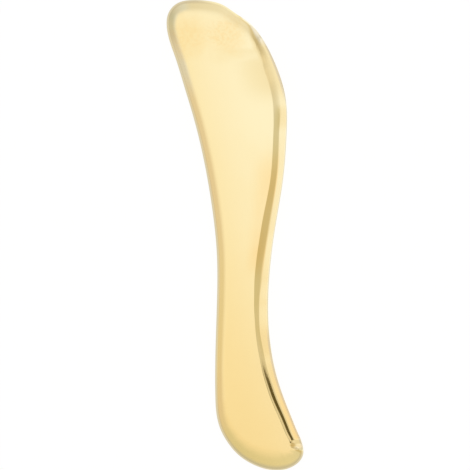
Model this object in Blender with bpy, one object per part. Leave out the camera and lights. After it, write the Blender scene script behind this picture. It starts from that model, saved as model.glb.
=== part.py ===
"""Gua sha tool: a solid brass massage stick, cast in one piece and polished.

It lies flat on its back face, with its long axis along Y and its broad head at +Y. Three
sides have a blunt, rounded edge. The +X side is a thin scraping edge: on both faces a hollow
runs along it, from a crisp crease down to a narrow lip with a rounded rim.

Run it from Blender's text editor, or with blender --background --python part.py.
"""

import math

import bmesh
import bpy
import numpy as np

# Overall size, in metres.
LENGTH = 0.150
WIDTH = 0.0343
THICKNESS = 0.005

# The blunt edge: how far its rounding reaches in over the face along the long sides.
SIDE_ROLL = 0.0040

# The scraping edge: the whole way from rim to crease, the way from rim to the lip's inner end,
# the thickness at the rim, the lip's rise over its width, and the rounding of the rim.
CREASE_INSET = 0.0046
LIP_INSET = 0.0021
EDGE_THICKNESS = 0.0022
LIP_RISE = 0.0002
RIM_ROUND = 0.00025

# How far along the outline, each way, the directions across the edge are evened out, so that
# they fan out inside the small corners, and how much of the way to where they would meet the
# edge may take up.
FAN_REACH = 0.016
CORNER_SHARE = 0.9

# Steps of the mesh: places around the outline, steps up each stretch of the edge, and the short
# steps, for each place, in which the outline is walked to space the places.
PLACES = 168
RIM_STEPS = 2
LIP_STEPS = 1
HOLLOW_STEPS = 3
ROLL_STEPS = 3
WALK_STEPS = 20

# The outline, clockwise from the left of the head. Each point has its place across and along
# the tool, as shares of WIDTH and LENGTH from the middle, then the width of the rounding, the
# crease's inset and the lip's inset as shares of SIDE_ROLL, CREASE_INSET and LIP_INSET. Then
# comes how much of its full thinning the rim has, and how far the edge there is a scraping edge
# with a hollow (1) or all rounding (0).
OUTLINE_SHARES = (
    (-0.4986, 0.4522, 0.95, 0.45, 0.45, 1.00, 0.0),
    (-0.4673, 0.4788, 1.05, 0.45, 0.45, 1.00, 0.0),
    (-0.3740, 0.4968, 1.20, 0.45, 0.45, 1.00, 0.0),
    (-0.2700, 0.5000, 1.30, 0.45, 0.45, 1.00, 0.0),
    (-0.1122, 0.4946, 1.30, 0.40, 0.40, 1.00, 0.0),
    (0.0404, 0.4805, 1.30, 0.25, 0.25, 1.00, 0.0),
    (0.1285, 0.4629, 1.30, 0.15, 0.15, 1.00, 0.0),
    (0.2437, 0.4396, 1.30, 0.14, 0.14, 0.50, 0.3),
    (0.3465, 0.4050, 1.15, 0.50, 0.42, 0.48, 0.8),
    (0.3840, 0.3858, 1.10, 0.69, 0.48, 0.50, 1.0),
    (0.4586, 0.3326, 1.00, 0.94, 0.55, 0.60, 1.0),
    (0.4999, 0.2661, 1.00, 0.96, 0.82, 0.62, 1.0),
    (0.4702, 0.1996, 1.00, 0.92, 1.06, 0.90, 1.0),
    (0.3793, 0.0999, 1.00, 0.87, 0.90, 1.00, 1.0),
    (0.2504, 0.0002, 1.00, 0.95, 0.72, 1.00, 1.0),
    (0.1426, -0.0995, 1.00, 1.01, 1.00, 0.80, 1.0),
    (0.1048, -0.1492, 1.00, 0.97, 1.30, 0.72, 1.0),
    (0.0821, -0.1992, 1.00, 0.93, 1.36, 0.65, 1.0),
    (0.0809, -0.2657, 1.00, 0.88, 1.10, 0.85, 1.0),
    (0.1183, -0.3322, 1.00, 0.86, 0.77, 1.00, 1.0),
    (0.1893, -0.3987, 1.00, 0.79, 0.68, 1.00, 1.0),
    (0.2297, -0.4319, 1.00, 0.79, 0.80, 0.94, 1.0),
    (0.2410, -0.4400, 1.00, 0.80, 0.82, 0.94, 1.0),
    (0.2521, -0.4518, 0.96, 0.88, 0.82, 0.50, 1.0),
    (0.2548, -0.4585, 0.95, 0.94, 0.82, 0.52, 1.0),
    (0.2520, -0.4680, 1.10, 0.80, 0.70, 0.52, 0.0),
    (0.2360, -0.4784, 1.30, 0.30, 0.30, 1.00, 0.0),
    (0.1387, -0.4958, 1.55, 0.45, 0.45, 1.00, 0.0),
    (0.0614, -0.4999, 1.75, 0.45, 0.45, 1.00, 0.0),
    (-0.0925, -0.4954, 1.70, 0.45, 0.45, 1.00, 0.0),
    (-0.2386, -0.4784, 1.55, 0.45, 0.45, 1.00, 0.0),
    (-0.3370, -0.4590, 1.40, 0.45, 0.45, 1.00, 0.0),
    (-0.4184, -0.4319, 1.20, 0.45, 0.45, 1.00, 0.0),
    (-0.4769, -0.3987, 1.05, 0.45, 0.45, 1.00, 0.0),
    (-0.4946, -0.3655, 1.00, 0.45, 0.45, 1.00, 0.0),
    (-0.4860, -0.3322, 0.90, 0.45, 0.45, 1.00, 0.0),
    (-0.4505, -0.2657, 0.80, 0.45, 0.45, 1.00, 0.0),
    (-0.3605, -0.1327, 0.87, 0.45, 0.45, 1.00, 0.0),
    (-0.3064, -0.0330, 0.90, 0.45, 0.45, 1.00, 0.0),
    (-0.2968, 0.0667, 0.95, 0.45, 0.45, 1.00, 0.0),
    (-0.3172, 0.1664, 0.95, 0.45, 0.45, 1.00, 0.0),
    (-0.3682, 0.2661, 0.95, 0.45, 0.45, 1.00, 0.0),
    (-0.4050, 0.3160, 0.95, 0.45, 0.45, 1.00, 0.0),
    (-0.4585, 0.3858, 0.95, 0.45, 0.45, 1.00, 0.0),
)

BRASS_COLOUR = (0.93, 0.74, 0.40, 1.0)
BRASS_ROUGHNESS = 0.16

# Edges that turn more than this, in degrees, stay crisp.
SMOOTH_ANGLE = 28


def spline_bends(knots, chords):
    """Return the second derivatives at the knots of the closed cubic spline through them."""
    count = len(knots)
    system = np.zeros((count, count))
    target = np.zeros_like(knots)
    for place in range(count):
        after = (place + 1) % count
        system[place, place - 1] = chords[place - 1]
        system[place, place] = 2 * (chords[place - 1] + chords[place])
        system[place, after] = chords[place]
        slope_before = (knots[place] - knots[place - 1]) / chords[place - 1]
        slope_after = (knots[after] - knots[place]) / chords[place]
        target[place] = 6 * (slope_after - slope_before)
    return np.linalg.solve(system, target)


def outline(count):
    """Return evenly spaced places on the outline, and each one's shares of the edge."""
    shares = np.array(OUTLINE_SHARES)
    knots = shares[:, :2] * (WIDTH, LENGTH)
    chords = np.linalg.norm(np.roll(knots, -1, axis=0) - knots, axis=1)
    bends = spline_bends(knots, chords)
    starts = np.concatenate(((0.0,), np.cumsum(chords)))

    def on_spline(travel):
        first = np.clip(np.searchsorted(starts, travel, side="right") - 1, 0, len(knots) - 1)
        second = (first + 1) % len(knots)
        chord = chords[first][:, None]
        done = (travel - starts[first])[:, None]
        left = chord - done
        places = (bends[first] * left**3 + bends[second] * done**3) / (6 * chord)
        places += (knots[first] / chord - bends[first] * chord / 6) * left
        places += (knots[second] / chord - bends[second] * chord / 6) * done
        ease = (done / chord)**2 * (3 - 2 * done / chord)
        edge = shares[first, 2:] + (shares[second, 2:] - shares[first, 2:]) * ease
        return places, edge

    # The spline is walked in short steps first, so that the places can be spaced by length,
    # and closer together where the crease turns in or out.
    walk = np.linspace(0.0, starts[-1], WALK_STEPS * count)
    walked, edge = on_spline(walk)
    path = np.column_stack((walked, CREASE_INSET * edge[:, 1:]))
    lengths = np.linalg.norm(np.diff(path, axis=0), axis=1)
    travelled = np.concatenate(((0.0,), np.cumsum(lengths)))
    even = np.linspace(0.0, travelled[-1], count, endpoint=False)
    places, edge = on_spline(np.interp(even, travelled, walk))

    # The finished outline fills exactly the overall width and length.
    low, high = places.min(axis=0), places.max(axis=0)
    places = (places - (low + high) / 2) / (high - low) * (WIDTH, LENGTH)
    return places, edge


def directions_in(places):
    """Return the evened direction across the edge, into the tool, at each outline place."""
    along = np.roll(places, -1, axis=0) - np.roll(places, 1, axis=0)
    spans = np.linalg.norm(along, axis=1)
    across = np.column_stack((along[:, 1], -along[:, 0])) / spans[:, None]
    travelled = np.cumsum(spans) / 2
    around = spans.sum() / 2
    apart = abs(travelled[:, None] - travelled[None, :])
    apart = np.minimum(apart, around - apart)
    weights = np.clip(1 - apart / FAN_REACH, 0.0, None) * spans
    evened = weights @ across
    return evened / np.linalg.norm(evened, axis=1)[:, None]


def corner_room(places, inward):
    """Return how far in the edge may reach at each place before its directions meet."""
    steps = np.roll(places, -1, axis=0) - places
    spans = np.linalg.norm(steps, axis=1)
    closing = -np.sum((np.roll(inward, -1, axis=0) - inward) * steps, axis=1) / spans
    room = CORNER_SHARE * spans / np.maximum(closing, spans / LENGTH)
    return np.minimum(room, np.roll(room, 1))


def roll_height(inset, roll):
    """Return how high over the middle plane the elliptical rounding is at an inset."""
    to_face = np.clip(1 - inset / roll, 0.0, 1.0)
    return THICKNESS / 2 * np.sqrt(1 - to_face**2)


def scraping_height(inset, rim, lip, crease, crease_height, thinning):
    """Return how high the rim, the lip and the hollow are at an inset short of the crease."""
    rise = crease_height / (THICKNESS / 2)
    rim_height = (THICKNESS - (THICKNESS - EDGE_THICKNESS) * thinning) / 2 * rise
    lip_slope = LIP_RISE / (LIP_INSET - RIM_ROUND) * rise
    on_rim = rim_height * np.sqrt(1 - np.clip(1 - inset / rim, 0.0, 1.0)**2)
    on_lip = lip_slope * np.clip(inset - rim, 0.0, None)
    depth = crease_height - rim_height - lip_slope * (crease - rim)
    on_hollow = depth * (np.clip(inset - lip, 0.0, None) / (crease - lip))**(1 + thinning**2)
    return on_rim + on_lip + on_hollow


def edge_rings(roll, rim, lip, crease, thinning, cut):
    """Return the insets and heights of the edge's rings, from the rim to the flat face."""
    quarter = math.pi / 2
    insets = [rim * (1 - math.cos(quarter * step / RIM_STEPS)) for step in range(RIM_STEPS + 1)]
    insets += [rim + (lip - rim) * step / LIP_STEPS for step in range(1, LIP_STEPS + 1)]
    insets += [lip + (crease - lip) * step / HOLLOW_STEPS for step in range(1, HOLLOW_STEPS + 1)]
    crease_height = roll_height(crease, roll)
    heights = []
    for inset in insets:
        blunt = roll_height(inset, roll)
        sharp = scraping_height(inset, rim, lip, crease, crease_height, thinning)
        heights.append(blunt + (sharp - blunt) * cut)

    # Past the crease come the rest of the rounding or, where none is left, a strip of the face.
    crease_turn = np.arccos(np.clip(1 - crease / roll, 0.0, 1.0))
    for step in range(1, ROLL_STEPS + 1):
        part = step / ROLL_STEPS
        turn = crease_turn + (quarter - crease_turn) * part
        inset = np.maximum(roll * (1 - np.cos(turn)), crease + RIM_ROUND * part)
        insets.append(inset)
        heights.append(roll_height(inset, roll))
    return insets, heights


def body_rings():
    """Return the rings of places that the skin runs through, from the back to the front."""
    places, edge = outline(PLACES)
    inward = directions_in(places)
    room = corner_room(places, inward)
    roll = np.minimum(edge[:, 0] * SIDE_ROLL, room)
    crease = np.minimum(edge[:, 1] * CREASE_INSET, room - RIM_ROUND)

    # Where the scraping edge narrows, the rim's rounding and the lip narrow with it.
    rim = RIM_ROUND * crease / CREASE_INSET
    lip = edge[:, 2] * LIP_INSET * crease / (edge[:, 1] * CREASE_INSET)
    insets, heights = edge_rings(roll, rim, lip, crease, edge[:, 3], edge[:, 4])
    levels = [(inset, -height) for inset, height in zip(insets, heights)][::-1]
    levels += list(zip(insets, heights))[1:]
    rings = []
    for inset, height in levels:
        flat = places + inward * inset[:, None]
        rings.append(np.column_stack((flat, THICKNESS / 2 + height)))
    return rings


def next_ring(skin, ring, places):
    """Grow the skin by one ring of faces, and return the new ring's vertices in order."""
    edges = [skin.edges.get((vert, ring[index - 1])) for index, vert in enumerate(ring)]
    grown = set(bmesh.ops.extrude_edge_only(skin, edges=edges)["geom"])
    fresh = []
    for vert, place in zip(ring, places):
        above = next(edge.other_vert(vert) for edge in vert.link_edges
                     if edge.other_vert(vert) in grown)
        above.co = place
        fresh.append(above)
    return fresh


def closed_skin(name, rings):
    """Return a mesh that runs through the rings and is capped flat at both ends."""
    skin = bmesh.new()
    first = bmesh.ops.create_circle(skin, cap_ends=True, radius=WIDTH, segments=len(rings[0]))
    ring = first["verts"]
    for vert, place in zip(ring, rings[0]):
        vert.co = place
    for places in rings[1:]:
        ring = next_ring(skin, ring, places)
    rim = [skin.edges.get((vert, ring[index - 1])) for index, vert in enumerate(ring)]
    bmesh.ops.contextual_create(skin, geom=rim)
    bmesh.ops.recalc_face_normals(skin, faces=skin.faces)
    mesh = bpy.data.meshes.new(name)
    skin.to_mesh(mesh)
    skin.free()
    return mesh


def brass():
    """Return the polished brass that the whole tool is made of."""
    material = bpy.data.materials.new("polished_brass")
    material.use_nodes = True
    shader = material.node_tree.nodes["Principled BSDF"]
    shader.inputs["Base Color"].default_value = BRASS_COLOUR
    shader.inputs["Metallic"].default_value = 1.0
    shader.inputs["Roughness"].default_value = BRASS_ROUGHNESS
    return material


def main():
    """Clear the scene and build the tool."""
    for old in list(bpy.data.objects):
        bpy.data.objects.remove(old, do_unlink=True)
    collection = bpy.data.collections.new("gua_sha_tool")
    bpy.context.scene.collection.children.link(collection)
    mesh = closed_skin("tool_body", body_rings())
    mesh.materials.append(brass())
    mesh.shade_smooth()
    mesh.set_sharp_from_angle(angle=math.radians(SMOOTH_ANGLE))
    collection.objects.link(bpy.data.objects.new("tool_body", mesh))


main()
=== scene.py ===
"""Gua sha tool: a solid brass massage stick with its polished finish, in a plain studio.

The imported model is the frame. One operator makes the tool's fine surface, which stands for the
frame's plainer solid and follows the same sizes, and one sets the stage: floor, light and
camera. The panel in the 3D view's sidebar holds the settings that a user would change.
"""

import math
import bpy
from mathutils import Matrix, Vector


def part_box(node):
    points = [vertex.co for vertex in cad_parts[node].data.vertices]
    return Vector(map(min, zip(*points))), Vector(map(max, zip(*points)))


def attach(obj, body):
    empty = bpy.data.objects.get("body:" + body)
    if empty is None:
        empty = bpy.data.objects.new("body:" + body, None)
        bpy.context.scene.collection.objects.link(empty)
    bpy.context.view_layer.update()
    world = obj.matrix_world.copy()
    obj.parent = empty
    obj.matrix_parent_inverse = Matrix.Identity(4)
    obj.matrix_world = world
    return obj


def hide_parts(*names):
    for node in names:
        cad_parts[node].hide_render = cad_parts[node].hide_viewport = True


bl_info = {
    "name": "Gua Sha Tool",
    "version": (1, 0, 0),
    "blender": (4, 5, 0),
    "location": "3D View > Sidebar > Gua Sha",
    "description": "Makes a polished brass gua sha stick and a plain studio around it",
    "category": "Add Mesh",
}

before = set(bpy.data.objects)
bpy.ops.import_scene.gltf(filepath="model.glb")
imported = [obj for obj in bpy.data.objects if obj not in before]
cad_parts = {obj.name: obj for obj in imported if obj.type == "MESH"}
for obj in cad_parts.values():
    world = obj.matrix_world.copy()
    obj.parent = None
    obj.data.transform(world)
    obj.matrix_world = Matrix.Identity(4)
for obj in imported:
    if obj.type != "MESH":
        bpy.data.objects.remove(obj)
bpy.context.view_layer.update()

import bmesh
import bpy
import numpy as np
from bpy.props import FloatProperty
from bpy.props import FloatVectorProperty
from bpy.props import PointerProperty
from bpy.types import Operator
from bpy.types import Panel
from bpy.types import PropertyGroup

BODY_NODE = "tool_body"
BODY_LOW, BODY_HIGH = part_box(BODY_NODE)
BODY_SIZE = BODY_HIGH - BODY_LOW
BODY_MIDDLE = (BODY_LOW + BODY_HIGH) / 2

MM = 0.001

# Steps of the mesh: places around the outline, steps up each stretch of the edge, the cuts
# across the flat faces, the places each way that stay uncut at their two ends, and the short
# steps in which the outline is walked, for each place.
PLACES = 880
RIM_STEPS = 6
LIP_STEPS = 4
HOLLOW_STEPS = 11
CREASE_STEPS = 8
ROLL_STEPS = 10
FACE_CUTS = 11
END_PLACES = 36
WALK_STEPS = 8

# How far along the outline, each way, the directions across the edge are evened out, so that
# they fan out inside the small corners, and how much of the way to where they would meet the
# edge may take up.
FAN_REACH = 16 * MM
CORNER_SHARE = 0.9

# The least height over which two heights blend, so that a blend of nothing can be worked out.
LEAST_BLEND = 1e-9

# The outline, clockwise from the left of the head. Each point has its place across and along
# the tool, as shares of its width and length from the middle, then the width of the rounding,
# the crease's inset and the lip's inset as shares of their full sizes. Then comes how much of
# its full thinning the rim has, and how far the edge there is a scraping edge with a hollow (1)
# or all rounding (0).
OUTLINE_SHARES = (
    (-0.4986, 0.4522, 0.95, 0.45, 0.45, 1.00, 0.0),
    (-0.4673, 0.4788, 1.05, 0.45, 0.45, 1.00, 0.0),
    (-0.3740, 0.4968, 1.20, 0.45, 0.45, 1.00, 0.0),
    (-0.2700, 0.5000, 1.30, 0.45, 0.45, 1.00, 0.0),
    (-0.1122, 0.4946, 1.30, 0.40, 0.40, 1.00, 0.0),
    (0.0404, 0.4805, 1.30, 0.25, 0.25, 1.00, 0.0),
    (0.1285, 0.4629, 1.30, 0.15, 0.15, 1.00, 0.0),
    (0.2437, 0.4396, 1.30, 0.14, 0.14, 0.50, 0.3),
    (0.3465, 0.4050, 1.15, 0.50, 0.42, 0.48, 0.8),
    (0.3840, 0.3858, 1.10, 0.69, 0.48, 0.50, 1.0),
    (0.4586, 0.3326, 1.00, 0.94, 0.55, 0.60, 1.0),
    (0.4999, 0.2661, 1.00, 0.96, 0.82, 0.62, 1.0),
    (0.4702, 0.1996, 1.00, 0.92, 1.06, 0.90, 1.0),
    (0.3793, 0.0999, 1.00, 0.87, 0.90, 1.00, 1.0),
    (0.2504, 0.0002, 1.00, 0.95, 0.72, 1.00, 1.0),
    (0.1426, -0.0995, 1.00, 1.01, 1.00, 0.80, 1.0),
    (0.1048, -0.1492, 1.00, 0.97, 1.30, 0.72, 1.0),
    (0.0821, -0.1992, 1.00, 0.93, 1.36, 0.65, 1.0),
    (0.0809, -0.2657, 1.00, 0.88, 1.10, 0.85, 1.0),
    (0.1183, -0.3322, 1.00, 0.86, 0.77, 1.00, 1.0),
    (0.1893, -0.3987, 1.00, 0.79, 0.68, 1.00, 1.0),
    (0.2297, -0.4319, 1.00, 0.79, 0.80, 0.94, 1.0),
    (0.2410, -0.4400, 1.00, 0.80, 0.82, 0.94, 1.0),
    (0.2521, -0.4518, 0.96, 0.88, 0.82, 0.50, 1.0),
    (0.2548, -0.4585, 0.95, 0.94, 0.82, 0.52, 1.0),
    (0.2520, -0.4680, 1.10, 0.80, 0.70, 0.52, 0.0),
    (0.2360, -0.4784, 1.30, 0.30, 0.30, 1.00, 0.0),
    (0.1387, -0.4958, 1.55, 0.45, 0.45, 1.00, 0.0),
    (0.0614, -0.4999, 1.75, 0.45, 0.45, 1.00, 0.0),
    (-0.0925, -0.4954, 1.70, 0.45, 0.45, 1.00, 0.0),
    (-0.2386, -0.4784, 1.55, 0.45, 0.45, 1.00, 0.0),
    (-0.3370, -0.4590, 1.40, 0.45, 0.45, 1.00, 0.0),
    (-0.4184, -0.4319, 1.20, 0.45, 0.45, 1.00, 0.0),
    (-0.4769, -0.3987, 1.05, 0.45, 0.45, 1.00, 0.0),
    (-0.4946, -0.3655, 1.00, 0.45, 0.45, 1.00, 0.0),
    (-0.4860, -0.3322, 0.90, 0.45, 0.45, 1.00, 0.0),
    (-0.4505, -0.2657, 0.80, 0.45, 0.45, 1.00, 0.0),
    (-0.3605, -0.1327, 0.87, 0.45, 0.45, 1.00, 0.0),
    (-0.3064, -0.0330, 0.90, 0.45, 0.45, 1.00, 0.0),
    (-0.2968, 0.0667, 0.95, 0.45, 0.45, 1.00, 0.0),
    (-0.3172, 0.1664, 0.95, 0.45, 0.45, 1.00, 0.0),
    (-0.3682, 0.2661, 0.95, 0.45, 0.45, 1.00, 0.0),
    (-0.4050, 0.3160, 0.95, 0.45, 0.45, 1.00, 0.0),
    (-0.4585, 0.3858, 0.95, 0.45, 0.45, 1.00, 0.0),
)

# What each vertex carries for the finish: how far out on the blunt edge it is, how near the
# scraping edge's rim, and how far out on the scraping edge (1 at the crease, 2 at the rim).
MEASURES = ("flank_share", "rim_share", "thin_share")

# Where the parts of the finish come in. Each range holds where a part starts and where it is at
# its full, and then, if they aren't 0 and 1, how much of it there is at these two ends.

# The metal deepens in clouds, its own uneven tone, and along a slant on which a step across the
# tool counts this many times as much as one along it. The slant is partly the brass's own tone and
# partly painted shade that darkens it towards the tail's blunt side.
SLANT = 6.0
DEEPENING_AND_SHADE = (100 * MM, -120 * MM)
DEEP_CLOUDS = (0.4, 0.8, 0.0, 0.2)

# The blunt edge, by places along and across the tool and by how far out on the edge they are.
# A greyish-green tint on the rounding of the head's long blunt side.
HEAD_SIDE_TINT_ALONG = (42 * MM, 54 * MM, 0.0, 0.5)
HEAD_SIDE_TINT_ACROSS = (-8 * MM, -12 * MM)
HEAD_SIDE_TINT_OUT = (0.15, 0.5)
# A dull yellow tint on the rounding of the head's outer corner.
CORNER_ALONG = (58 * MM, 66 * MM)
CORNER_ACROSS = (-12 * MM, -16 * MM)
CORNER_OUT = (0.05, 0.45)
# Painted shade: darkens the outer rounding down the long blunt side and round the tail.
OUTER_SHADE_ACROSS = (0.0, -8 * MM)
OUTER_SHADE_ALONG = (-68 * MM, -72 * MM)
OUTER_SHADE_OUT = (0.7, 0.92)

# The scraping edge, by places along the tool and by how far out on the edge they are.
# Painted highlight: brightens the scraping edge's rim, less towards the head.
RIM_HIGHLIGHT_FROM_HEAD = (48 * MM, 32 * MM, 0.3, 1.0)
RIM_HIGHLIGHT_FROM_TAIL = (-40 * MM, -10 * MM, 0.5, 1.0)
# Painted shade on the scraping edge, and on a patch of face, by the head.
HEAD_SHADE_ALONG = (38 * MM, 46 * MM)
HEAD_SHADE_OUT = (0.45, 0.95)
HEAD_FACE_SHADE_ALONG = (52 * MM, 58 * MM)
HEAD_FACE_SHADE_OUT = (0.1, 0.9)
# Painted reflection: a thin dark line just inside the rim, by the head and along the tail.
TAIL_DARK_REFLECTION_ALONG = (-28 * MM, -36 * MM)
DARK_REFLECTION_OUT = (1.76, 1.87)
DARK_REFLECTION_PAST = (1.9, 1.98)
# Painted highlight: the lip is made pale at both ends of the scraping edge.
LIP_HIGHLIGHT_AT_START = (57 * MM, 60.5 * MM)
LIP_HIGHLIGHT_AT_END = (-67.2 * MM, -68.4 * MM, 0.0, 0.4)
LIP_HIGHLIGHT_OUT = (1.1, 1.5)
LIP_OUT = (1.45, 1.6)
# Painted shade: warms and darkens the hollow's middle and the tail's lip, in clouds.
WARM_SHADE_FROM_HEAD = (30 * MM, 16 * MM)
WARM_SHADE_FROM_TAIL = (-16 * MM, -6 * MM)
WARM_SHADE_LIP_FROM_HEAD = (-42 * MM, -54 * MM)
WARM_SHADE_LIP_FROM_TAIL = (-66.4 * MM, -65.4 * MM)
WARM_SHADE_CLOUDS = (0.3, 0.7, 0.6, 1.0)

# The two heat stains on the head: where the middle of each one is, and how wide it reaches. Then
# the share of its reach that is full, how far its edge sways, and the specks in it.
STAINS = (
    ((-10.2 * MM, 63.3 * MM), 9.0 * MM),
    ((0.6 * MM, 62.4 * MM), 9.5 * MM),
)
STAIN_FULL = 0.2
STAIN_SWAY = 6 * MM
SPECKS = (0.4, 0.65, 0.6, 1.0)

# Painted shade where the scraping edge's hollow ends at the tail, by how far it is away.
SHADE_SPOT_MIDDLE = (5.5 * MM, -67.6 * MM)
SHADE_SPOT_AWAY = (1.2 * MM, 0.36 * MM, 0.0, 0.7)

# The pits: how wide one is in its cell, the chance above which a cell has one, and how much of
# its colour is tarnish.
PIT_AWAY = (0.034, 0.01)
PIT_CHANCE = 0.45
PIT_TARNISH = 0.25

# How fine the patterns are, from clouds in the metal to polishing lines, and how far the lines
# are drawn out along the tool.
CLOUD_SCALE = 55.0
PIT_SCALE = 95.0
WAVE_SCALE = 120.0
STAIN_EDGE_SCALE = 170.0
SPECK_SCALE = 1300.0
LINE_SCALE = 2200.0
LINE_STRETCH = (1.0, 0.02, 1.0)

# How much smoother and rougher the lines make the polish, and how strong and how high the lines
# and the waves stand out.
LINE_RANGE = (0.3, 0.7)
SMOOTHER = 0.02
ROUGHER = 0.03
LINE_STRENGTH = 0.05
LINE_HEIGHT = 0.05 * MM
WAVE_STRENGTH = 0.1
WAVE_HEIGHT = 0.2 * MM

# The stage. The picture's middle lies this far from the tool's, across and along it, and the
# picture is this wide at the height of the outline.
PICTURE_MIDDLE = (-4.11 * MM, 0.02 * MM)
PICTURE_WIDTH = 147.53 * MM
CAMERA_LENS = 200.0
CAMERA_SENSOR = 36.0
FLOOR_RADIUS = 8.0
FLOOR_SIDES = 64

# How brightly the floor glows where it is seen, and how much of its look that is.
FLOOR_GLOW = 1.04
FLOOR_GLOW_SHARE = 0.9

# The overhead panel's soft edges, and where it turns warm, as slopes off the vertical. A way is
# taken to go up by at least this much, so that its slope stays small.
PANEL_EAST = (0.72, 0.34)
PANEL_WEST = (-0.95, -0.15)
PANEL_SOUTH = (-0.60, 0.0)
PANEL_NORTH = (0.75, 0.15)
PANEL_WARMING = (0.02, -0.12)
LEAST_UP = 0.05

# The dark flag's soft edges: its two sides by their bearing in degrees, then its foot and its top
# by how far up they are.
FLAG_START = (1.95, 2.15)
FLAG_END = (26.0, 23.0)
FLAG_FOOT = (0.24, 0.31)
FLAG_TOP = (0.74, 0.68)

# The light from the room's sides, by its bearing in degrees, anticlockwise from the +X side.
ROOM_SIDES = (
    (-180, (0.82, 0.75, 0.72)),
    (-140, (0.76, 0.75, 0.66)),
    (-80, (0.82, 0.80, 0.70)),
    (-40, (0.80, 0.78, 0.70)),
    (-16, (0.66, 0.59, 0.43)),
    (-9, (0.70, 0.65, 0.52)),
    (0, (0.76, 0.72, 0.66)),
    (12, (0.78, 0.74, 0.69)),
    (17, (0.90, 0.83, 0.75)),
    (27, (0.63, 0.57, 0.46)),
    (50, (0.91, 0.87, 0.85)),
    (69, (0.87, 0.83, 0.79)),
    (90, (0.82, 0.79, 0.77)),
    (115, (0.80, 0.74, 0.68)),
    (150, (0.76, 0.73, 0.68)),
    (173, (0.84, 0.79, 0.72)),
    (180, (0.82, 0.75, 0.72)),
)


class ToolSizes(PropertyGroup):
    """Sizes of the tool's body and its edges."""

    length: FloatProperty(
        name="Length", description="Overall length, tail to head",
        default=BODY_SIZE.y, subtype="DISTANCE", unit="LENGTH", precision=5)
    width: FloatProperty(
        name="Width", description="Overall width of the whole S shape",
        default=BODY_SIZE.x, subtype="DISTANCE", unit="LENGTH", precision=5)
    thickness: FloatProperty(
        name="Thickness", description="Thickness between the two flat faces",
        default=BODY_SIZE.z, subtype="DISTANCE", unit="LENGTH", precision=5)
    side_roll: FloatProperty(
        name="Side roll", description="How far the blunt edge's rounding reaches over the face",
        default=4.0 * MM, subtype="DISTANCE", unit="LENGTH", precision=5)
    crease_inset: FloatProperty(
        name="Crease inset", description="From the rim of the scraping edge to the crease",
        default=4.6 * MM, subtype="DISTANCE", unit="LENGTH", precision=5)
    lip_inset: FloatProperty(
        name="Lip inset", description="From the rim of the scraping edge to the lip's inner end",
        default=2.1 * MM, subtype="DISTANCE", unit="LENGTH", precision=5)
    edge_thickness: FloatProperty(
        name="Edge thickness", description="Thickness at the rim of the scraping edge",
        default=2.2 * MM, subtype="DISTANCE", unit="LENGTH", precision=5)
    lip_rise: FloatProperty(
        name="Lip rise", description="How much the lip rises over its width",
        default=0.2 * MM, subtype="DISTANCE", unit="LENGTH", precision=5)
    rim_round: FloatProperty(
        name="Rim round", description="How far the rim's rounding reaches in",
        default=0.25 * MM, subtype="DISTANCE", unit="LENGTH", precision=5)
    crease_reach: FloatProperty(
        name="Crease reach", description="How far each side of the crease is worked soft",
        default=0.25 * MM, subtype="DISTANCE", unit="LENGTH", precision=5)
    crease_blend: FloatProperty(
        name="Crease blend", description="Height over which the hollow and the face blend",
        default=0.10 * MM, subtype="DISTANCE", unit="LENGTH", precision=5)


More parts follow.
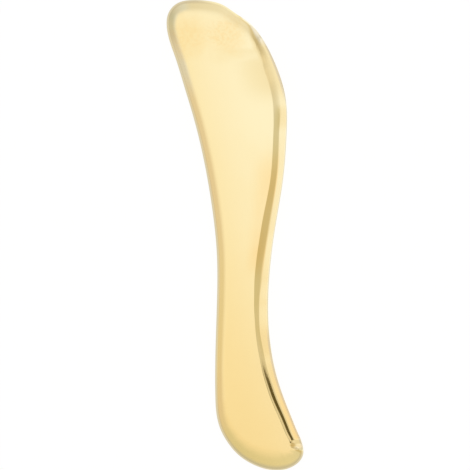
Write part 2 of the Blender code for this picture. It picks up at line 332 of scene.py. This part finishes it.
class BrassFinish(PropertyGroup):
    """Colour of the polished brass, its stains and tints, and painted shade and highlights."""

    # The pale and deep colours: partly the brass's tone, partly painted shade towards the tail.
    pale_colour: FloatVectorProperty(
        name="Pale brass", description="Colour of the metal at the head's thin side",
        default=(0.97, 0.86, 0.52), subtype="COLOR", min=0.0, max=1.0)
    deep_tone_and_shade_colour: FloatVectorProperty(
        name="Deep brass", description="Warmer colour of the metal at the tail's blunt side",
        default=(0.94, 0.745, 0.34), subtype="COLOR", min=0.0, max=1.0)
    # Painted shade on the outer rounding and the hollow's tail end; also the pits' tarnish.
    shade_and_tarnish_colour: FloatVectorProperty(
        name="Flank tarnish", description="Colour of the light tarnish down the blunt long side",
        default=(0.70, 0.60, 0.38), subtype="COLOR", min=0.0, max=1.0)
    # A greyish-green tint on the rounding of the head's long blunt side.
    head_side_tint_colour: FloatVectorProperty(
        name="Grey film", description="Colour of the thin film on the head's long blunt side",
        default=(0.81, 0.86, 0.69), subtype="COLOR", min=0.0, max=1.0)
    # A dull yellow tint on the rounding of the head's outer corner.
    corner_colour: FloatVectorProperty(
        name="Corner tarnish", description="Colour of the tarnish on the head's outer corner",
        default=(0.72, 0.66, 0.40), subtype="COLOR", min=0.0, max=1.0)
    stain_colour: FloatVectorProperty(
        name="Stain", description="Colour of the small heat stains on the head",
        default=(0.93, 0.68, 0.27), subtype="COLOR", min=0.0, max=1.0)
    roughness: FloatProperty(
        name="Roughness", description="Roughness of the polished surface",
        default=0.1, subtype="FACTOR", min=0.0, max=1.0)
    # Painted highlight on the scraping edge's rim, and on the lip at the edge's two ends.
    rim_highlight_colour: FloatVectorProperty(
        name="Worn rim", description="Colour of the bare metal along the scraping edge's rim",
        default=(1.0, 0.94, 0.72), subtype="COLOR", min=0.0, max=1.0)
    # Painted shade: darkens the scraping edge and a patch of face by the head.
    head_shade_colour: FloatVectorProperty(
        name="Dull edge", description="What the scraping edge's colour is dulled by at the head",
        default=(0.93, 0.88, 0.78), subtype="COLOR", min=0.0, max=1.0)
    # Painted reflection: a thin dark line just inside the rim.
    dark_reflection_colour: FloatVectorProperty(
        name="Rim line", description="What the rim is darkened by at the head and the tail",
        default=(0.80, 0.81, 0.98), subtype="COLOR", min=0.0, max=1.0)
    # Painted shade: warms and darkens the hollow's middle and the tail's lip.
    warm_shade_colour: FloatVectorProperty(
        name="Warm edge", description="What the scraping edge's colour is warmed by elsewhere",
        default=(1.0, 0.90, 0.76), subtype="COLOR", min=0.0, max=1.0)
    stain_amount: FloatProperty(
        name="Stain amount", description="Strength of the heat stains",
        default=0.55, subtype="FACTOR", min=0.0, max=1.0)
    line_amount: FloatProperty(
        name="Polishing lines", description="Strength of the fine lines along the tool",
        default=0.5, subtype="FACTOR", min=0.0, max=1.0)


class StudioLight(PropertyGroup):
    """Colours of the floor, of the soft panel overhead and of the room around it."""

    floor_colour: FloatVectorProperty(
        name="Floor", description="Colour of the plain floor",
        default=(0.9, 0.9, 0.9), subtype="COLOR", min=0.0, max=1.0)
    panel_colour: FloatVectorProperty(
        name="Overhead panel", description="Light from the soft panel overhead",
        default=(0.97, 0.96, 1.0), subtype="COLOR", min=0.0, max=1.0)
    panel_warm_colour: FloatVectorProperty(
        name="Panel's warm end", description="Light from the panel's end over the tail",
        default=(0.95, 0.88, 0.82), subtype="COLOR", min=0.0, max=1.0)
    panel_strength: FloatProperty(
        name="Panel strength", description="How bright the overhead panel is",
        default=1.07, min=0.0, soft_max=2.0)
    flag_colour: FloatVectorProperty(
        name="Flag", description="Light from the dark flag at the tool's thin side",
        default=(0.125, 0.1, 0.04), subtype="COLOR", min=0.0, max=1.0)
    camera_turn: FloatProperty(
        name="Camera turn", description="How far the camera is turned about the vertical",
        default=math.radians(-7.25), subtype="ANGLE", unit="ROTATION")


def spline_bends(knots, chords):
    """Return the second derivatives at the knots of the closed cubic spline through them."""
    count = len(knots)
    system = np.zeros((count, count))
    target = np.zeros_like(knots)
    for place in range(count):
        after = (place + 1) % count
        system[place, place - 1] = chords[place - 1]
        system[place, place] = 2 * (chords[place - 1] + chords[place])
        system[place, after] = chords[place]
        slope_before = (knots[place] - knots[place - 1]) / chords[place - 1]
        slope_after = (knots[after] - knots[place]) / chords[place]
        target[place] = 6 * (slope_after - slope_before)
    return np.linalg.solve(system, target)


def outline(sizes, count):
    """Return evenly spaced places on the outline, and each one's shares of the edge."""
    shares = np.array(OUTLINE_SHARES)
    overall = np.array((sizes.width, sizes.length))
    knots = shares[:, :2] * overall
    chords = np.linalg.norm(np.roll(knots, -1, axis=0) - knots, axis=1)
    bends = spline_bends(knots, chords)
    starts = np.concatenate(((0.0,), np.cumsum(chords)))

    def on_spline(travel):
        first = np.clip(np.searchsorted(starts, travel, side="right") - 1, 0, len(knots) - 1)
        second = (first + 1) % len(knots)
        chord = chords[first][:, None]
        done = (travel - starts[first])[:, None]
        left = chord - done
        places = (bends[first] * left**3 + bends[second] * done**3) / (6 * chord)
        places += (knots[first] / chord - bends[first] * chord / 6) * left
        places += (knots[second] / chord - bends[second] * chord / 6) * done
        eased = (done / chord)**2 * (3 - 2 * done / chord)
        edge = shares[first, 2:] + (shares[second, 2:] - shares[first, 2:]) * eased
        return places, edge

    # The spline is walked in short steps first, so that the places can be spaced by length,
    # and closer together where the crease turns in or out.
    walk = np.linspace(0.0, starts[-1], WALK_STEPS * count)
    walked, edge = on_spline(walk)
    path = np.column_stack((walked, sizes.crease_inset * edge[:, 1:]))
    lengths = np.linalg.norm(np.diff(path, axis=0), axis=1)
    travelled = np.concatenate(((0.0,), np.cumsum(lengths)))
    even = np.linspace(0.0, travelled[-1], count, endpoint=False)
    places, edge = on_spline(np.interp(even, travelled, walk))

    # The finished outline fills exactly the overall width and length.
    low, high = places.min(axis=0), places.max(axis=0)
    places = (places - (low + high) / 2) / (high - low) * overall
    return places + (BODY_MIDDLE.x, BODY_MIDDLE.y), edge


def directions_in(places):
    """Return the evened direction across the edge, into the tool, at each outline place."""
    along = np.roll(places, -1, axis=0) - np.roll(places, 1, axis=0)
    spans = np.linalg.norm(along, axis=1)
    across = np.column_stack((along[:, 1], -along[:, 0])) / spans[:, None]
    travelled = np.cumsum(spans) / 2
    around = spans.sum() / 2
    apart = abs(travelled[:, None] - travelled[None, :])
    apart = np.minimum(apart, around - apart)
    weights = np.clip(1 - apart / FAN_REACH, 0.0, None) * spans
    evened = weights @ across
    return evened / np.linalg.norm(evened, axis=1)[:, None]


def corner_room(places, inward, furthest):
    """Return how far in the edge may reach at each place before its directions meet."""
    steps = np.roll(places, -1, axis=0) - places
    spans = np.linalg.norm(steps, axis=1)
    closing = -np.sum((np.roll(inward, -1, axis=0) - inward) * steps, axis=1) / spans
    room = CORNER_SHARE * spans / np.maximum(closing, spans / furthest)
    return np.minimum(room, np.roll(room, 1))


def roll_height(sizes, inset, roll):
    """Return how high over the middle plane the elliptical rounding is at an inset."""
    to_face = np.clip(1 - inset / roll, 0.0, 1.0)
    return sizes.thickness / 2 * np.sqrt(1 - to_face**2)


def scraping_height(sizes, inset, rim, lip, crease, crease_height, thinning):
    """Return how high the rim, the lip and the hollow are at an inset."""
    rise = crease_height / (sizes.thickness / 2)
    thinned = (sizes.thickness - sizes.edge_thickness) * thinning
    rim_height = (sizes.thickness - thinned) / 2 * rise
    lip_slope = sizes.lip_rise / (sizes.lip_inset - sizes.rim_round) * rise
    on_rim = rim_height * np.sqrt(1 - np.clip(1 - inset / rim, 0.0, 1.0)**2)
    on_lip = lip_slope * np.clip(inset - rim, 0.0, None)
    depth = crease_height - rim_height - lip_slope * (crease - rim)
    on_hollow = depth * (np.clip(inset - lip, 0.0, None) / (crease - lip))**(1 + thinning**2)
    return on_rim + on_lip + on_hollow


def blended_low(first, second, blend):
    """Return the lower of two heights, rounded off where they come within a blend's height."""
    blend = np.maximum(blend, LEAST_BLEND)
    lean = np.clip(0.5 + (second - first) / (2 * blend), 0.0, 1.0)
    return second + (first - second) * lean - blend * lean * (1 - lean)


def edge_insets(sizes, roll, rim, lip, crease, soft):
    """Return the insets of the edge's rings, from the rim to the flat face, at each place."""
    quarter = math.pi / 2
    before, after = crease - soft, crease + soft
    insets = [rim * (1 - math.cos(quarter * step / RIM_STEPS)) for step in range(RIM_STEPS)]
    insets += [rim + (lip - rim) * (step / LIP_STEPS)**2 for step in range(LIP_STEPS)]
    insets += [lip + (before - lip) * step / HOLLOW_STEPS for step in range(HOLLOW_STEPS)]
    insets += [before + (after - before) * step / CREASE_STEPS for step in range(CREASE_STEPS)]
    after_turn = np.arccos(np.clip(1 - after / roll, 0.0, 1.0))
    for step in range(ROLL_STEPS + 1):
        part = step / ROLL_STEPS
        turn = after_turn + (quarter - after_turn) * part
        insets.append(np.maximum(roll * (1 - np.cos(turn)), after + sizes.rim_round * part))
    return insets


def edge_rings(sizes, places, inward, edge):
    """Return the edge's rings from the rim to the face: flat places, heights and finish measures.
    """
    room = corner_room(places, inward, sizes.length)
    roll = np.minimum(edge[:, 0] * sizes.side_roll, room)
    crease = np.minimum(edge[:, 1] * sizes.crease_inset, room - sizes.rim_round)
    thinning = edge[:, 3]
    cut = edge[:, 4]

    # Where the scraping edge narrows, its rim, its lip and its soft crease narrow with it.
    narrowing = crease / sizes.crease_inset
    rim = sizes.rim_round * narrowing
    lip = edge[:, 2] * sizes.lip_inset * narrowing / edge[:, 1]
    soft = sizes.crease_reach * narrowing
    blend = sizes.crease_blend * narrowing * cut
    crease_height = roll_height(sizes, crease, roll)
    rings = []
    for inset in edge_insets(sizes, roll, rim, lip, crease, soft):
        blunt = roll_height(sizes, inset, roll)
        sharp = scraping_height(sizes, inset, rim, lip, crease, crease_height, thinning)
        hollowed = blunt + (sharp - blunt) * cut
        height = np.where(inset < crease, hollowed, blunt)
        on_crease = abs(inset - crease) < soft
        height = np.where(on_crease, blended_low(hollowed, blunt, blend), height)
        flank = (1 - cut) * np.clip(1 - inset / roll, 0.0, 1.0)
        rim_highlight = cut * np.clip(2 - inset / rim, 0.0, 1.0)
        thin = np.clip(4 * cut, 0.0, 1.0) * np.clip(2 - inset / crease, 0.0, 2.0)
        measures = np.column_stack((flank, rim_highlight, thin))
        rings.append((places + inward * inset[:, None], height, measures))
    return rings


class Skin:
    """A closed skin that is grown ring by ring, with the edge's measures at each vertex."""

    def __init__(self, count, radius):
        self.mesh = bmesh.new()
        self.layers = [self.mesh.verts.layers.float.new(name) for name in MEASURES]
        circle = bmesh.ops.create_circle(
            self.mesh, cap_ends=True, radius=radius, segments=count)
        self.ring = circle["verts"]
        self.started = False

    def grow(self, flat, levels, measures):
        """Add one ring of faces, or place the first ring."""
        if self.started:
            edges = self.ring_edges()
            grown = set(bmesh.ops.extrude_edge_only(self.mesh, edges=edges)["geom"])
            self.ring = [
                next(edge.other_vert(vert) for edge in vert.link_edges
                     if edge.other_vert(vert) in grown)
                for vert in self.ring]
        self.started = True
        for index, vert in enumerate(self.ring):
            vert.co = (flat[index, 0], flat[index, 1], levels[index])
            for layer, measure in zip(self.layers, measures[index]):
                vert[layer] = measure

    def ring_edges(self):
        """Return the open ring's edges."""
        return [self.mesh.edges.get((vert, self.ring[index - 1]))
                for index, vert in enumerate(self.ring)]

    def rungs(self, ring, first):
        """Split the flat face inside a ring into strips across the tool."""
        count = len(ring)
        made = []
        for step in range(END_PLACES, count // 2 - END_PLACES):
            left = ring[(first - step) % count]
            right = ring[(first + step) % count]
            face = next(face for face in left.link_faces if right in face.verts)
            bmesh.utils.face_split(face, left, right)
            made.append(self.mesh.edges.get((left, right)))
        return made

    def finished(self, name):
        """Return the skin as a mesh with its faces pointing out."""
        bmesh.ops.recalc_face_normals(self.mesh, faces=self.mesh.faces)
        mesh = bpy.data.meshes.new(name)
        self.mesh.to_mesh(mesh)
        self.mesh.free()
        return mesh


def body_mesh(sizes):
    """Return the tool's fine surface, closed, with its back face on the floor."""
    places, edge = outline(sizes, PLACES)
    rings = edge_rings(sizes, places, directions_in(places), edge)
    middle = BODY_MIDDLE.z
    skin = Skin(PLACES, sizes.width)
    back_ring = skin.ring
    for flat, height, measures in reversed(rings):
        skin.grow(flat, middle - height, measures)
    for flat, height, measures in rings[1:]:
        skin.grow(flat, middle + height, measures)
    bmesh.ops.contextual_create(skin.mesh, geom=skin.ring_edges())
    far = PLACES // 2
    head = int(np.argmax(places[:, 1] - np.roll(places[:, 1], -far)))
    crossing = skin.rungs(back_ring, head) + skin.rungs(skin.ring, head)
    bmesh.ops.subdivide_edges(skin.mesh, edges=crossing, cuts=FACE_CUTS, use_grid_fill=True)
    return skin.finished("polished_tool_body")


def add_node(tree, kind, inputs=None, **settings):
    """Add a node with its settings, and fill or link its inputs."""
    made = tree.nodes.new(kind)
    for name, value in settings.items():
        setattr(made, name, value)
    for key, value in (inputs or {}).items():
        if isinstance(value, bpy.types.NodeSocket):
            tree.links.new(value, made.inputs[key])
        else:
            made.inputs[key].default_value = value
    return made


def reckon(tree, operation, *values):
    """Return the output of a Math node."""
    inputs = dict(enumerate(values))
    return add_node(tree, "ShaderNodeMath", inputs, operation=operation).outputs[0]


def product(tree, first, *others):
    """Return the product of some values."""
    for other in others:
        first = reckon(tree, "MULTIPLY", first, other)
    return first


def ease(tree, value, start, end, low=0.0, high=1.0):
    """Return a value that eases from low to high as another one goes from start to end."""
    inputs = {"Value": value, "From Min": start, "From Max": end, "To Min": low, "To Max": high}
    kind = "ShaderNodeMapRange"
    return add_node(tree, kind, inputs, interpolation_type="SMOOTHSTEP").outputs[0]


def mix_colour(tree, factor, first, second, blend="MIX"):
    """Return a mix of two colours."""
    inputs = {0: factor, 6: first, 7: second}
    made = add_node(tree, "ShaderNodeMix", inputs, data_type="RGBA", blend_type=blend)
    return made.outputs[2]


def tinted(tree, colour, amount, tint, blend="MIX"):
    """Return a colour with some of a tint laid over it."""
    return mix_colour(tree, amount, colour, opaque(tint), blend)


def ramp(tree, factor, stops):
    """Return the colour of a smooth ramp through its stops."""
    made = add_node(tree, "ShaderNodeValToRGB", {0: factor})
    made.color_ramp.interpolation = "EASE"
    elements = made.color_ramp.elements
    elements[1].position = 1.0
    elements[1].color = opaque(stops[-1][1])
    elements[0].position = 0.0
    elements[0].color = opaque(stops[0][1])
    for place, colour in stops[1:-1]:
        elements.new(place).color = opaque(colour)
    return made.outputs[0]


def noise(tree, vector, scale, detail=2.0, roughness=0.5):
    """Return a noise value between 0 and 1."""
    inputs = {"Vector": vector, "Scale": scale, "Detail": detail, "Roughness": roughness}
    return add_node(tree, "ShaderNodeTexNoise", inputs).outputs[0]


def stretched(tree, vector, scale, location=(0.0, 0.0, 0.0)):
    """Return a vector that is moved and then scaled by an axis each."""
    inputs = {"Vector": vector, "Location": location, "Scale": scale}
    return add_node(tree, "ShaderNodeMapping", inputs, vector_type="POINT").outputs[0]


def away_from(tree, vector, middle):
    """Return how far a vector is from a place, seen from above."""
    from_middle = stretched(tree, vector, (1.0, 1.0, 0.0), (-middle[0], -middle[1], 0.0))
    away = add_node(tree, "ShaderNodeVectorMath", {0: from_middle}, operation="LENGTH")
    return away.outputs["Value"]


def opaque(colour):
    """Return a colour with an alpha of one."""
    return (*colour, 1.0)


def metal_tone_and_shade(tree, finish, cloud, across, along):
    """Return the metal's colour: deeper in clouds, and deeper to the tail partly as painted shade.
    """
    slant = reckon(tree, "MULTIPLY_ADD", across, SLANT, along)
    # Painted shade in part: the slant darkens the metal towards the tail's blunt side.
    deep = ease(tree, slant, *DEEPENING_AND_SHADE)
    colour = tinted(tree, opaque(finish.pale_colour), deep, finish.deep_tone_and_shade_colour)
    return tinted(tree, colour, ease(tree, cloud, *DEEP_CLOUDS), finish.deep_tone_and_shade_colour)


def blunt_edge(tree, finish, colour, flank, across, along):
    """Return the colour with tints at the head, and painted shade on the outer rounding."""
    # A greyish-green tint on the head's long blunt rounding, and a dull tint on its corner.
    head_side_tint = product(tree, ease(tree, flank, *HEAD_SIDE_TINT_OUT), ease(tree, along, *HEAD_SIDE_TINT_ALONG),
                   ease(tree, across, *HEAD_SIDE_TINT_ACROSS))
    colour = tinted(tree, colour, head_side_tint, finish.head_side_tint_colour)
    corner = product(tree, ease(tree, flank, *CORNER_OUT), ease(tree, along, *CORNER_ALONG),
                     ease(tree, across, *CORNER_ACROSS))
    colour = tinted(tree, colour, corner, finish.corner_colour)
    # Painted shade: the outer rounding darkens down the long side and round the tail.
    sides = reckon(tree, "MAXIMUM", ease(tree, across, *OUTER_SHADE_ACROSS),
                   ease(tree, along, *OUTER_SHADE_ALONG))
    dark_tint = product(tree, ease(tree, flank, *OUTER_SHADE_OUT), sides)
    return tinted(tree, colour, dark_tint, finish.shade_and_tarnish_colour)


def scraping_edge(tree, finish, colour, cloud, rim_highlight, thin, along):
    """Return the colour with the scraping edge's painted highlights, shade and dark reflection."""
    # Painted highlight: the scraping edge's rim is brightened.
    rim_highlight = product(tree, rim_highlight, ease(tree, along, *RIM_HIGHLIGHT_FROM_HEAD),
                   ease(tree, along, *RIM_HIGHLIGHT_FROM_TAIL))
    colour = tinted(tree, colour, rim_highlight, finish.rim_highlight_colour)

    # Painted shade: by the head it is darkened, from just short of the crease out to the rim.
    past_crease = ease(tree, thin, *HEAD_SHADE_OUT)
    near_head = ease(tree, along, *HEAD_SHADE_ALONG)
    on_face = product(tree, ease(tree, thin, *HEAD_FACE_SHADE_OUT), ease(tree, along, *HEAD_FACE_SHADE_ALONG))
    edge_shadow = reckon(tree, "MAXIMUM", product(tree, past_crease, near_head), on_face)
    colour = tinted(tree, colour, edge_shadow, finish.head_shade_colour, "MULTIPLY")

    # Painted reflection: a thin dark line, a mirrored dark thing, lies just inside the rim, by the
    # head and along the tail.
    at_start = ease(tree, along, *LIP_HIGHLIGHT_AT_START)
    lined = reckon(tree, "MAXIMUM", reckon(tree, "SUBTRACT", near_head, at_start),
                   ease(tree, along, *TAIL_DARK_REFLECTION_ALONG))
    line = reckon(tree, "SUBTRACT", ease(tree, thin, *DARK_REFLECTION_OUT), ease(tree, thin, *DARK_REFLECTION_PAST))
    colour = tinted(tree, colour, product(tree, line, lined), finish.dark_reflection_colour, "MULTIPLY")

    # Painted highlight: the lip is made pale at both ends of the edge.
    ends = reckon(tree, "MAXIMUM", at_start, ease(tree, along, *LIP_HIGHLIGHT_AT_END))
    pale = product(tree, ease(tree, thin, *LIP_HIGHLIGHT_OUT), ends)
    colour = tinted(tree, colour, pale, finish.rim_highlight_colour)

    # Painted shade, broken up in clouds: the hollow's middle and the lip along the tail are
    # darkened warm.
    on_lip = ease(tree, thin, *LIP_OUT)
    in_hollow = reckon(tree, "SUBTRACT", past_crease, on_lip)
    in_middle = product(tree, in_hollow, ease(tree, along, *WARM_SHADE_FROM_HEAD),
                        ease(tree, along, *WARM_SHADE_FROM_TAIL))
    by_tail = product(tree, on_lip, ease(tree, along, *WARM_SHADE_LIP_FROM_HEAD),
                      ease(tree, along, *WARM_SHADE_LIP_FROM_TAIL))
    warm = product(tree, reckon(tree, "MAXIMUM", in_middle, by_tail),
                   ease(tree, cloud, *WARM_SHADE_CLOUDS))
    return tinted(tree, colour, warm, finish.warm_shade_colour, "MULTIPLY")


def stained_and_shaded(tree, finish, colour, place):
    """Return the colour with the head's specked heat stains and the tail's spot of painted shade.
    """
    speck = ease(tree, noise(tree, place, SPECK_SCALE), *SPECKS)
    uneven = noise(tree, place, STAIN_EDGE_SCALE)
    uneven = reckon(tree, "MULTIPLY_ADD", uneven, STAIN_SWAY, -STAIN_SWAY / 2)
    stains = []
    for middle, reach in STAINS:
        away = reckon(tree, "ADD", away_from(tree, place, middle), uneven)
        stains.append(ease(tree, away, reach, STAIN_FULL * reach))
    stain = product(tree, reckon(tree, "MAXIMUM", *stains), speck, finish.stain_amount)
    colour = tinted(tree, colour, stain, finish.stain_colour)
    # A spot of painted shade where the hollow ends at the tail.
    shade_spot = ease(tree, away_from(tree, place, SHADE_SPOT_MIDDLE), *SHADE_SPOT_AWAY)
    return tinted(tree, colour, shade_spot, finish.shade_and_tarnish_colour, "MULTIPLY")


def pitted(tree, finish, colour, place):
    """Return the colour with a few tiny pits from the casting."""
    cells = add_node(tree, "ShaderNodeTexVoronoi", {"Vector": place, "Scale": PIT_SCALE}).outputs
    chance = add_node(tree, "ShaderNodeSeparateXYZ", {0: cells["Color"]}).outputs[0]
    pit = product(tree, ease(tree, cells["Distance"], *PIT_AWAY),
                  reckon(tree, "GREATER_THAN", chance, PIT_CHANCE), PIT_TARNISH)
    return tinted(tree, colour, pit, finish.shade_and_tarnish_colour)


def polish(tree, finish, place, shader):
    """Give the shader the polish: fine lines along the tool and slight waves."""
    lines = noise(tree, stretched(tree, place, LINE_STRETCH), LINE_SCALE)
    rough = ease(tree, lines, *LINE_RANGE, finish.roughness - SMOOTHER,
                 finish.roughness + ROUGHER)
    tree.links.new(rough, shader.inputs["Roughness"])
    lined = add_node(tree, "ShaderNodeBump", {
        "Strength": LINE_STRENGTH * finish.line_amount, "Distance": LINE_HEIGHT,
        "Height": lines})
    waved = add_node(tree, "ShaderNodeBump", {
        "Strength": WAVE_STRENGTH, "Distance": WAVE_HEIGHT,
        "Height": noise(tree, place, WAVE_SCALE, 1.0), "Normal": lined.outputs[0]})
    tree.links.new(waved.outputs[0], shader.inputs["Normal"])


def brass_material(finish):
    """Return the polished brass: stains, pits, tints, and painted shade and highlights."""
    material = bpy.data.materials.new("polished_brass")
    material.use_nodes = True
    tree = material.node_tree
    shader = tree.nodes["Principled BSDF"]
    place = add_node(tree, "ShaderNodeTexCoord").outputs["Object"]
    across, along, _ = add_node(tree, "ShaderNodeSeparateXYZ", {0: place}).outputs
    cloud = noise(tree, place, CLOUD_SCALE, 3.0)
    flank, rim_highlight, thin = (
        add_node(tree, "ShaderNodeAttribute", attribute_name=name).outputs["Fac"]
        for name in MEASURES)
    colour = metal_tone_and_shade(tree, finish, cloud, across, along)
    colour = blunt_edge(tree, finish, colour, flank, across, along)
    colour = scraping_edge(tree, finish, colour, cloud, rim_highlight, thin, along)
    colour = stained_and_shaded(tree, finish, colour, place)
    colour = pitted(tree, finish, colour, place)
    tree.links.new(colour, shader.inputs["Base Color"])
    polish(tree, finish, place, shader)
    shader.inputs["Metallic"].default_value = 1.0
    return material


def seen_share(tree, share):
    """Return a share for camera, glossy and transmission rays, and zero for the others."""
    rays = add_node(tree, "ShaderNodeLightPath").outputs
    either = reckon(tree, "MAXIMUM", rays["Is Camera Ray"], rays["Is Glossy Ray"])
    either = reckon(tree, "MAXIMUM", either, rays["Is Transmission Ray"])
    return reckon(tree, "MULTIPLY", either, share)


def floor_material(studio):
    """Return the plain floor, which looks white and keeps a light shadow."""
    material = bpy.data.materials.new("plain_floor")
    material.use_nodes = True
    tree = material.node_tree
    tree.nodes.clear()
    colour = opaque(studio.floor_colour)
    plain = add_node(tree, "ShaderNodeBsdfDiffuse", {"Color": colour}).outputs[0]
    white = add_node(tree, "ShaderNodeEmission", {"Color": opaque((1.0, 1.0, 1.0)),
                                                  "Strength": FLOOR_GLOW}).outputs[0]
    share = seen_share(tree, FLOOR_GLOW_SHARE)
    mixed = add_node(tree, "ShaderNodeMixShader", {0: share, 1: plain, 2: white}).outputs[0]
    add_node(tree, "ShaderNodeOutputMaterial", {"Surface": mixed})
    return material


def room_world(studio):
    """Return the light around the tool: a soft panel overhead, in a plain room."""
    world = bpy.data.worlds.new("studio_room")
    world.use_nodes = True
    tree = world.node_tree
    tree.nodes.clear()
    way = add_node(tree, "ShaderNodeTexCoord").outputs["Generated"]
    east, north, up = add_node(tree, "ShaderNodeSeparateXYZ", {0: way}).outputs
    above = reckon(tree, "MAXIMUM", up, LEAST_UP)
    east_slope = reckon(tree, "DIVIDE", east, above)
    north_slope = reckon(tree, "DIVIDE", north, above)

    # The panel fades out towards the room's four sides, and is warmer over the tail.
    panel = product(tree, ease(tree, east_slope, *PANEL_EAST), ease(tree, east_slope, *PANEL_WEST),
                    ease(tree, north_slope, *PANEL_SOUTH), ease(tree, north_slope, *PANEL_NORTH))
    overhead = tinted(tree, opaque(studio.panel_colour), ease(tree, north_slope, *PANEL_WARMING),
                      studio.panel_warm_colour)
    overhead = add_node(tree, "ShaderNodeVectorMath", {
        0: overhead, "Scale": studio.panel_strength}, operation="SCALE").outputs[0]
    bearing = reckon(tree, "DEGREES", reckon(tree, "ARCTAN2", north, east))
    around = reckon(tree, "MULTIPLY_ADD", bearing, 1 / 360, 0.5)
    stops = [(0.5 + degrees / 360, colour) for degrees, colour in ROOM_SIDES]
    light = mix_colour(tree, panel, ramp(tree, around, stops), overhead)

    # A dark flag stands low at the thin side, where only the tail's hollow mirrors it.
    flag = product(tree, ease(tree, bearing, *FLAG_START), ease(tree, bearing, *FLAG_END),
                   ease(tree, up, *FLAG_FOOT), ease(tree, up, *FLAG_TOP))
    light = tinted(tree, light, flag, studio.flag_colour)
    glow = add_node(tree, "ShaderNodeBackground", {"Color": light, "Strength": 1.0}).outputs[0]
    add_node(tree, "ShaderNodeOutputWorld", {"Surface": glow})
    return world


def floor_object(studio):
    """Return the round floor that the tool lies on."""
    disc = bmesh.new()
    bmesh.ops.create_circle(disc, cap_ends=True, radius=FLOOR_RADIUS, segments=FLOOR_SIDES)
    mesh = bpy.data.meshes.new("floor")
    disc.to_mesh(mesh)
    disc.free()
    mesh.materials.append(floor_material(studio))
    return bpy.data.objects.new("floor", mesh)


def camera_object(studio):
    """Return the camera, straight above the tool and turned as in the photograph."""
    camera = bpy.data.cameras.new("camera")
    camera.lens = CAMERA_LENS
    camera.sensor_width = CAMERA_SENSOR
    holder = bpy.data.objects.new("camera", camera)
    height = PICTURE_WIDTH * CAMERA_LENS / CAMERA_SENSOR
    holder.location = (BODY_MIDDLE.x + PICTURE_MIDDLE[0], BODY_MIDDLE.y + PICTURE_MIDDLE[1],
                       BODY_MIDDLE.z + height)
    holder.rotation_euler = (0.0, 0.0, studio.camera_turn)
    return holder


class GUASHA_OT_make_body(Operator):
    """Make the tool's body: one piece of polished brass with a thin, hollowed scraping edge"""

    bl_idname = "gua_sha.make_body"
    bl_label = "Make Tool Body"
    bl_options = {"REGISTER", "UNDO"}

    def execute(self, context):
        if BODY_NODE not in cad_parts:
            raise RuntimeError("the frame has no node named " + BODY_NODE)
        sizes = context.scene.gua_sha_sizes
        mesh = body_mesh(sizes)
        mesh.materials.append(brass_material(context.scene.gua_sha_finish))
        mesh.shade_smooth()
        body = bpy.data.objects.new("polished_tool_body", mesh)
        context.scene.collection.objects.link(body)
        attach(body, "root")
        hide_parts(BODY_NODE)
        return {"FINISHED"}


class GUASHA_OT_set_stage(Operator):
    """Set the stage: a plain pale floor, soft light from overhead and the camera"""

    bl_idname = "gua_sha.set_stage"
    bl_label = "Set Stage"
    bl_options = {"REGISTER", "UNDO"}

    def execute(self, context):
        scene = context.scene
        studio = scene.gua_sha_studio
        floor = floor_object(studio)
        scene.collection.objects.link(floor)
        scene.world = room_world(studio)
        camera = camera_object(studio)
        scene.collection.objects.link(camera)
        scene.camera = camera
        scene.view_settings.view_transform = "Standard"
        return {"FINISHED"}


class GUASHA_PT_panel(Panel):
    """Settings and steps of the gua sha tool"""

    bl_idname = "GUASHA_PT_panel"
    bl_label = "Gua Sha Tool"
    bl_space_type = "VIEW_3D"
    bl_region_type = "UI"
    bl_category = "Gua Sha"

    def draw(self, context):
        groups = ((context.scene.gua_sha_sizes, GUASHA_OT_make_body.bl_idname),
                  (context.scene.gua_sha_finish, None),
                  (context.scene.gua_sha_studio, GUASHA_OT_set_stage.bl_idname))
        for group, operator in groups:
            column = self.layout.column(align=True)
            for name in group.__annotations__:
                column.prop(group, name)
            if operator:
                column.operator(operator)


CLASSES = (ToolSizes, BrassFinish, StudioLight, GUASHA_OT_make_body, GUASHA_OT_set_stage,
           GUASHA_PT_panel)


def register():
    """Register the classes and give each scene the tool's settings."""
    for kind in CLASSES:
        bpy.utils.register_class(kind)
    bpy.types.Scene.gua_sha_sizes = PointerProperty(type=ToolSizes)
    bpy.types.Scene.gua_sha_finish = PointerProperty(type=BrassFinish)
    bpy.types.Scene.gua_sha_studio = PointerProperty(type=StudioLight)


def unregister():
    """Take the settings and the classes away again."""
    del bpy.types.Scene.gua_sha_studio
    del bpy.types.Scene.gua_sha_finish
    del bpy.types.Scene.gua_sha_sizes
    for kind in reversed(CLASSES):
        bpy.utils.unregister_class(kind)


def main():
    """Make the tool and its stage."""
    register()
    bpy.ops.gua_sha.make_body()
    bpy.ops.gua_sha.set_stage()


if __name__ == "__main__":
    main()
